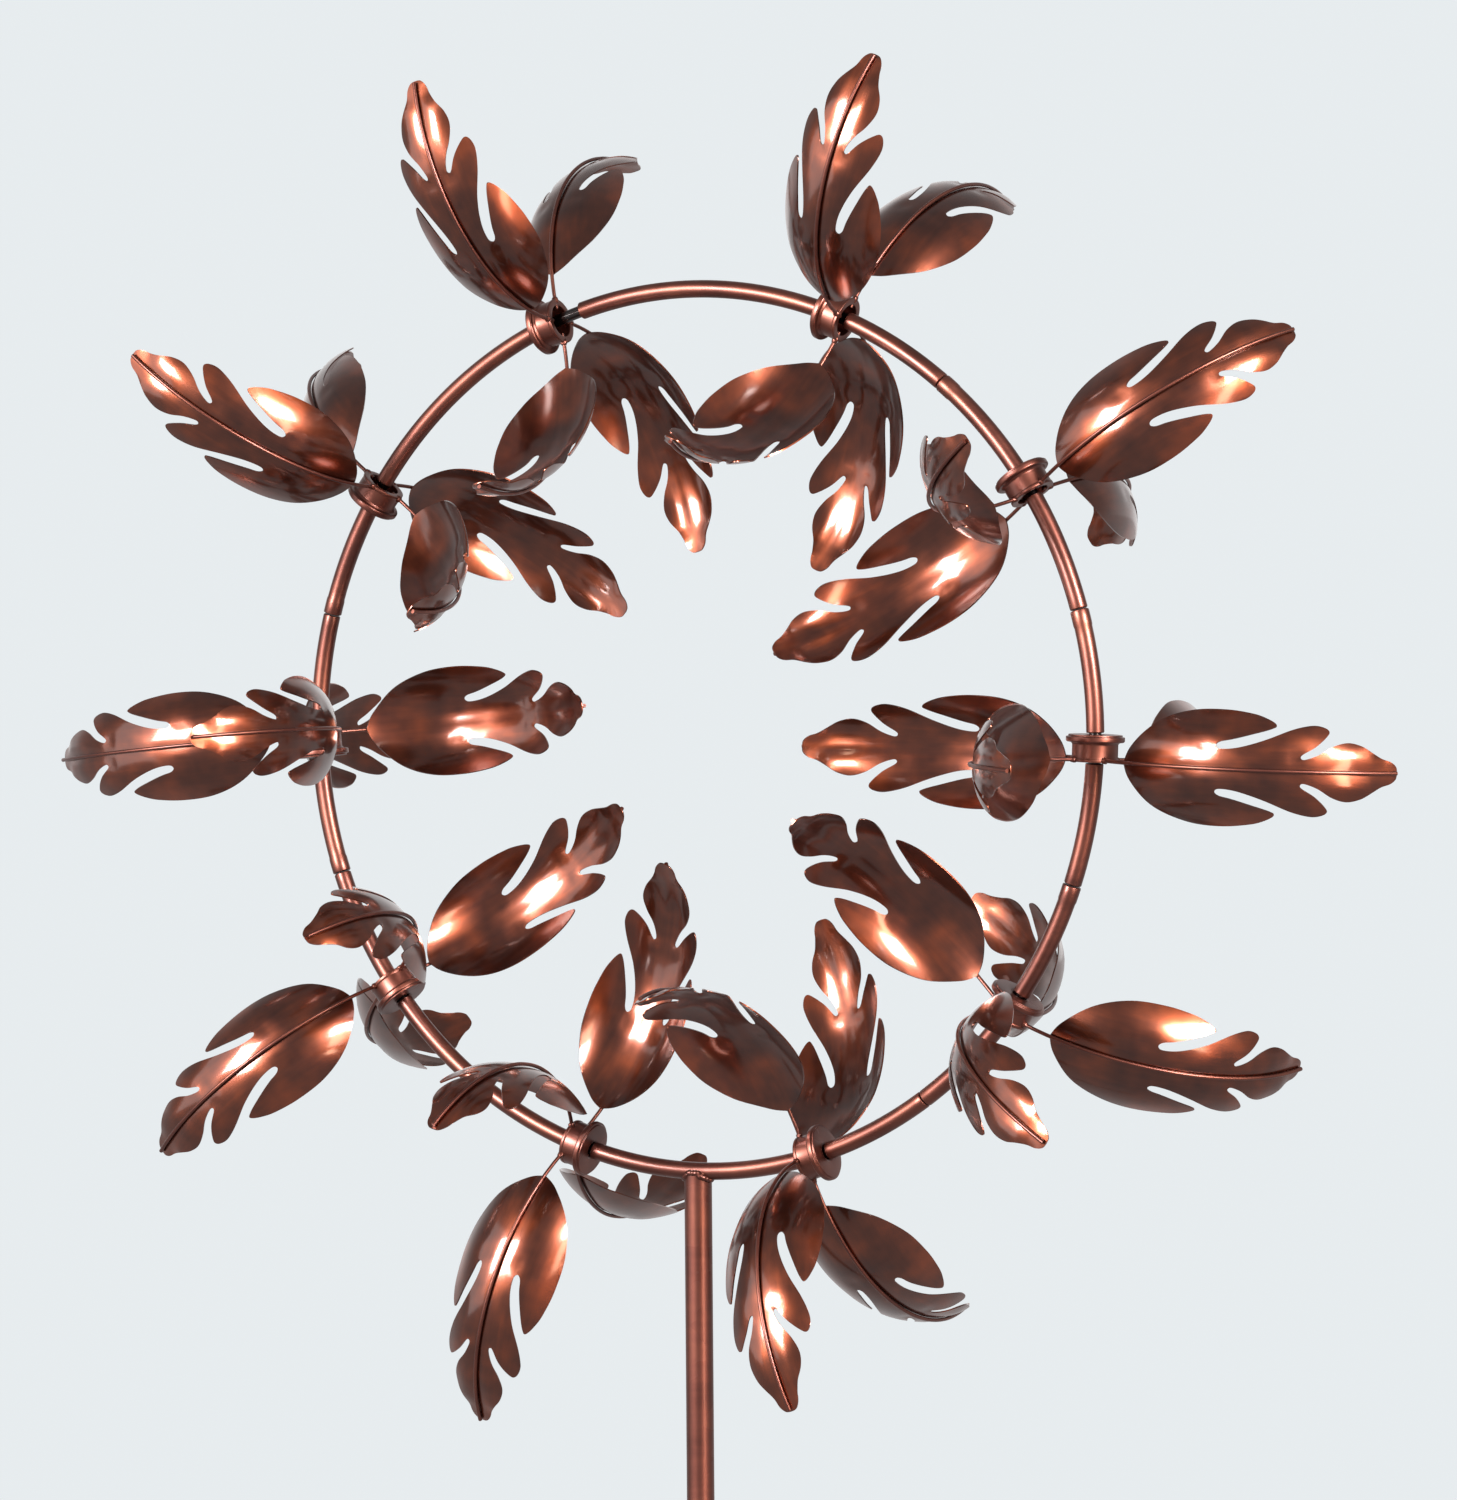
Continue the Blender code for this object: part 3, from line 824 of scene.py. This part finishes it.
def coped_loop(bm, radius, inset):
    """A loop on the pole's top, which follows the underside of the ring's tube."""
    loop = []
    for c, s in circle(POLE_SIDES):
        x, y = radius * inset * c, radius * inset * s
        height = saddle_height(x, y, TUBE_RADIUS, COPE_DEPTH) - COPE_GAP + (1.0 - inset) * COPE_CROWN
        loop.append(bm.verts.new((x, y, height)))
    return loop


def add_pole():
    """Upper pole: coped to the ring at its top, with an eased foot and a blind socket for the spigot."""
    low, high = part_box("pole_upper")
    radius = pole_radius()
    rim, shoulder, start = (low.z + height for height in POLE_FOOT)
    rise = (high.z - SHAFT_END - start) / SHAFT_RINGS
    heights = [shoulder, *(start + rise * i for i in range(SHAFT_RINGS + 1))]
    bm = bmesh.new()
    loops = [level_loop(bm, POLE_BORE, low.z + SOCKET_DEPTH), level_loop(bm, POLE_BORE, rim)]
    loops.append(level_loop(bm, radius - POLE_FOOT_BEVEL, rim))
    loops += [level_loop(bm, radius, height) for height in heights]
    loops += [coped_loop(bm, radius, inset) for inset in COPE_INSETS]
    for first, second in zip(loops, loops[1:]):
        bridge(bm, first, second)
    bm.faces.new(loops[0])
    bm.faces.new(loops[-1])
    pole = add_object("pole_upper_tube", finished_mesh(bm, "pole_upper", 40.0), tube_copper)
    stand_for(pole, "pole_upper", "frame")


def add_pole_weld():
    """The bead where the pole meets the ring: a lumpy cord that follows the coped joint."""
    radius = pole_radius()
    centres = []
    for c, s in circle(WELD_STEPS):
        x, y = (radius + WELD_REACH) * c, radius * WELD_NARROWING * s
        height = saddle_height(x, y * WELD_FLATTENING, WELD_SADDLE_RADIUS, WELD_SADDLE_DEPTH)
        centres.append(Vector((x, y, height - WELD_DROP)))
    bm = bmesh.new()
    rings = []
    for i, centre in enumerate(centres):
        along = (centres[(i + 1) % WELD_STEPS] - centres[i - 1]).normalized()
        out = Vector((centre.x, centre.y, 0)).normalized()
        up = along.cross(out)
        lump = WELD_UNEVENNESS * noise.noise(Vector((centre.x, centre.y, 0)) * UNEVENNESS_RATE)
        ripple = WELD_RIPPLE * math.sin(2 * math.pi * i / STEPS_PER_RIPPLE)
        size = WELD_RADIUS + lump + ripple
        rings.append([bm.verts.new(centre + size * (out * c + up * s)) for c, s in circle(WELD_SIDES)])
    for i in range(WELD_STEPS):
        bridge(bm, rings[i], rings[(i + 1) % WELD_STEPS])
    weld = add_object("pole_weld", finished_mesh(bm, "pole_weld", 0), tube_copper)
    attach(weld, "frame")


def add_lower_pole():
    """Lower pole, with a thinner spigot up into the upper pole."""
    low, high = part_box("pole_lower")
    radius = (high.x - low.x) / 2
    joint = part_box("pole_upper")[0].z
    outline = [
        (SPIGOT_BORE, high.z),
        (SPIGOT_RADIUS, high.z),
        (SPIGOT_RADIUS, joint - JOINT_GAP),
        (radius, joint - JOINT_GAP),
        (radius, low.z),
        (POLE_BORE, low.z),
        (POLE_BORE, joint - SPIGOT_ROOT),
        (SPIGOT_BORE, joint - SPIGOT_ROOT),
    ]
    bm = bmesh.new()
    turned(bm, rounded(outline, POLE_EASING, 3), POLE_SIDES)
    pole = add_object("pole_lower_tube", finished_mesh(bm, "pole_lower", 35.0), tube_copper)
    stand_for(pole, "pole_lower", "frame")


# ---------------------------------------------------------------- stake and screw


def add_rod(bm, x, profile):
    """A round bar turned about an upright line at x, with its corners eased."""
    eased = rounded(profile, ROD_EASING, 4, closed=False)
    turned(bm, eased, ROUND_SIDES, Matrix.Translation((x, 0, 0)), closed=False)


def add_bead_ring(bm, x, rod_radius, height, count, gap, size):
    """Weld beads round a rod where it meets the foot bar."""
    radius = rod_radius + gap
    for index, (c, s) in enumerate(circle(count)):
        spot = Vector((x + radius * c, radius * s, height))
        add_weld(bm, spot, Vector((0, 0, 1)), size, index * 1.3 + x * 40)


def add_foot_bar(bm, half_length, half_width):
    """Flat bar with rounded ends and eased edges; its underside is at ground level."""
    corners = [(-1, -1), (1, -1), (1, 1), (-1, 1)]
    outline = rounded([(x * half_length, y * half_width) for x, y in corners], FOOT_CORNER, 8)
    inset, drop = FOOT_EDGE
    layers = ((inset, 0.0), (0.0, drop), (0.0, FOOT_THICKNESS - drop), (inset, FOOT_THICKNESS))
    loops = []
    for shrink, height in layers:
        share_x, share_y = 1 - shrink / half_length, 1 - shrink / half_width
        loops.append([bm.verts.new((x * share_x, y * share_y, height)) for x, y in outline])
    for first, second in zip(loops, loops[1:]):
        bridge(bm, first, second)
    bm.faces.new(list(reversed(loops[0])))
    bm.faces.new(loops[-1])


def add_stake():
    """Foot bar on the ground, the pole's peg above it and two pointed prongs below."""
    low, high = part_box("ground_stake")
    root = FOOT_THICKNESS / 2
    bm = bmesh.new()
    add_foot_bar(bm, (high.x - low.x) / 2, (high.y - low.y) / 2)
    add_rod(bm, 0.0, [(0.0, high.z), (PEG_RADIUS, high.z), (PEG_RADIUS, root), (0.0, root)])
    add_bead_ring(bm, 0.0, PEG_RADIUS, PEG_BEAD_HEIGHT, *PEG_BEADS)
    prong = [
        (0.0, root),
        (PRONG_RADIUS, root),
        (PRONG_RADIUS, low.z + PRONG_POINT),
        (PRONG_TIP_RADIUS, low.z),
        (0.0, low.z),
    ]
    for x in (-PRONG_OFFSET, PRONG_OFFSET):
        add_rod(bm, x, prong)
        add_bead_ring(bm, x, PRONG_RADIUS, 0.0, *PRONG_BEADS)
    stake = add_object("ground_stake_forged", finished_mesh(bm, "ground_stake"), tube_copper)
    stand_for(stake, "ground_stake", "frame")


def recess_cutter(turn, radius, depth, matrix):
    """One bar of the screw's cross recess, turned about the head's axis."""
    bm = bmesh.new()
    size = Matrix.Diagonal((radius, radius * RECESS_WIDTH, depth, 1.0))
    lift = Matrix.Translation((0, 0, depth * RECESS_CENTRE))
    bmesh.ops.create_cube(bm, size=1.0, matrix=lift @ Matrix.Rotation(turn, 4, "Z") @ size)
    cutter = add_object("recess", finished_mesh(bm, "recess", 0))
    cutter.matrix_world = matrix
    return cutter


def cut_away(obj, cutters):
    """Takes the cutters' shapes out of the object's mesh, and removes them."""
    for cutter in cutters:
        cut = obj.modifiers.new("Cut", "BOOLEAN")
        cut.operation = "DIFFERENCE"
        cut.object = cutter
    graph = bpy.context.evaluated_depsgraph_get()
    mesh = bpy.data.meshes.new_from_object(obj.evaluated_get(graph))
    obj.modifiers.clear()
    obj.data = mesh
    for cutter in cutters:
        bpy.data.objects.remove(cutter)


def add_screw():
    """Pan head with a plain cross recess, facing the front."""
    low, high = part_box("pole_screw")
    centre = (low + high) / 2
    radius = (high.x - low.x) / 2
    depth = high.y - low.y
    outline = [(share * radius, depth_share * depth) for share, depth_share in SCREW_OUTLINE]
    bm = bmesh.new()
    turned(bm, rounded(outline, SCREW_EASING, 4, closed=False), ROUND_SIDES, closed=False)
    head = add_object("pole_screw_head", finished_mesh(bm, "pole_screw"), zinc_steel)
    facing = Matrix.Rotation(math.radians(90), 4, "X")
    head.matrix_world = Matrix.Translation((centre.x, high.y, centre.z)) @ facing
    cut_away(head, [recess_cutter(math.radians(turn), radius, depth, head.matrix_world) for turn in (0, 90)])
    stand_for(head, "pole_screw", "frame")


# ---------------------------------------------------------------- room, light and camera


def view_direction(azimuth, elevation):
    """Unit vector from the object towards a viewer there."""
    a, e = math.radians(azimuth), math.radians(elevation)
    return Vector((math.sin(a) * math.cos(e), -math.cos(a) * math.cos(e), math.sin(e)))


def mixed_shader(tree, factor, first, second):
    """Goes from the first shader node at 0 to the second at 1."""
    return add_node(tree, "ShaderNodeMixShader", {0: factor, 1: first.outputs[0], 2: second.outputs[0]})


def camera_ray(tree):
    """1 where the camera looks straight at a surface, and 0 in reflections and bounced light."""
    return add_node(tree, "ShaderNodeLightPath").outputs["Is Camera Ray"]


def floor_material():
    """Pale to the camera, with soft shadows, and dim in the metal's reflections."""
    material = bpy.data.materials.new("pale_floor")
    material.use_nodes = True
    tree = material.node_tree
    tree.nodes.remove(tree.nodes["Principled BSDF"])
    place = add_node(tree, "ShaderNodeTexCoord").outputs["Object"]
    speckle = noise_texture(tree, place, 60.0, 5.0)
    pale = ramp(tree, speckle, ((0.3, FLOOR_PALE), (0.7, FLOOR_LIGHT)))
    glow = add_node(tree, "ShaderNodeEmission", {"Color": pale})
    lit = add_node(tree, "ShaderNodeBsdfDiffuse", {"Color": FLOOR_SHADOW})
    near = add_node(tree, "ShaderNodeAddShader", {0: glow.outputs[0], 1: lit.outputs[0]})
    distance = vector_math(tree, "LENGTH", place).outputs["Value"]
    far = add_node(tree, "ShaderNodeEmission", {"Color": BACKDROP})
    reach = {"Value": distance, "From Min": FLOOR_NEAR, "From Max": FLOOR_FAR}
    fade = add_node(tree, "ShaderNodeMapRange", reach, interpolation_type="SMOOTHSTEP")
    seen = mixed_shader(tree, fade.outputs[0], near, far)
    dim = add_node(tree, "ShaderNodeEmission", {"Color": FLOOR_REFLECTED})
    surface = mixed_shader(tree, camera_ray(tree), dim, seen)
    tree.links.new(surface.outputs[0], tree.nodes["Material Output"].inputs["Surface"])
    return material


def add_floor():
    """A pale floor that fades into the backdrop with distance, so that no horizon shows."""
    bm = bmesh.new()
    bmesh.ops.create_circle(bm, cap_ends=True, segments=96, radius=FLOOR_RADIUS)
    floor = add_object("floor", finished_mesh(bm, "floor", 0), floor_material())
    floor.location.z = cad_low.z - FLOOR_DROP


def add_world():
    """Pale to the camera. To the metal it is a room with a bright backdrop behind and dim walls elsewhere."""
    world = bpy.data.worlds.new("studio")
    bpy.context.scene.world = world
    world.use_nodes = True
    tree = world.node_tree
    tree.nodes.clear()
    direction = add_node(tree, "ShaderNodeTexCoord").outputs["Generated"]
    stretched = vector_math(tree, "MULTIPLY", direction, ROOM_FLATTENING).outputs["Vector"]
    flatter = vector_math(tree, "NORMALIZE", stretched).outputs["Vector"]
    behind = -view_direction(CAMERA_AZIMUTH, ROOM_TILT)
    facing = vector_math(tree, "DOT_PRODUCT", flatter, behind).outputs["Value"]
    share = add_node(tree, "ShaderNodeMapRange", {"Value": facing, "From Min": -1.0, "From Max": 1.0})
    room = add_node(tree, "ShaderNodeBackground", {"Color": ramp(tree, share.outputs[0], ROOM_COLORS)})
    backdrop = add_node(tree, "ShaderNodeBackground", {"Color": BACKDROP})
    surface = mixed_shader(tree, camera_ray(tree), room, backdrop)
    output = add_node(tree, "ShaderNodeOutputWorld")
    tree.links.new(surface.outputs[0], output.inputs["Surface"])


def add_light(name, azimuth, elevation, distance, size, power, color):
    """A soft panel that faces the ring's centre, placed by its angle from the camera's."""
    data = bpy.data.lights.new(name, "AREA")
    data.shape = "RECTANGLE"
    data.size, data.size_y = size
    data.energy = power
    data.color = color
    light = bpy.data.objects.new(name, data)
    bpy.context.scene.collection.objects.link(light)
    away = view_direction(CAMERA_AZIMUTH + azimuth, elevation)
    light.location = RING_CENTRE + away * distance
    light.rotation_euler = away.to_track_quat("Z", "Y").to_euler()


def add_camera():
    data = bpy.data.cameras.new("camera")
    data.sensor_fit = "HORIZONTAL"
    data.sensor_width = 36.0
    data.lens = CAMERA_LENS
    data.shift_x, data.shift_y = CAMERA_SHIFT
    camera = bpy.data.objects.new("camera", data)
    bpy.context.scene.collection.objects.link(camera)
    away = view_direction(CAMERA_AZIMUTH, CAMERA_ELEVATION)
    camera.location = RING_CENTRE + away * CAMERA_DISTANCE
    facing = away.to_track_quat("Z", "Y").to_matrix().to_4x4()
    camera.rotation_euler = (facing @ Matrix.Rotation(math.radians(CAMERA_ROLL), 4, "Z")).to_euler()
    bpy.context.scene.camera = camera
    bpy.context.scene.view_settings.view_transform = "Standard"


shared_blade = blade_mesh()
for rotor in ROTORS:
    add_rotor(rotor, shared_blade)
add_ring()
add_pole()
add_pole_weld()
add_lower_pole()
add_stake()
add_screw()
add_floor()
add_world()
for light_values in LIGHTS:
    add_light(*light_values)
add_camera()
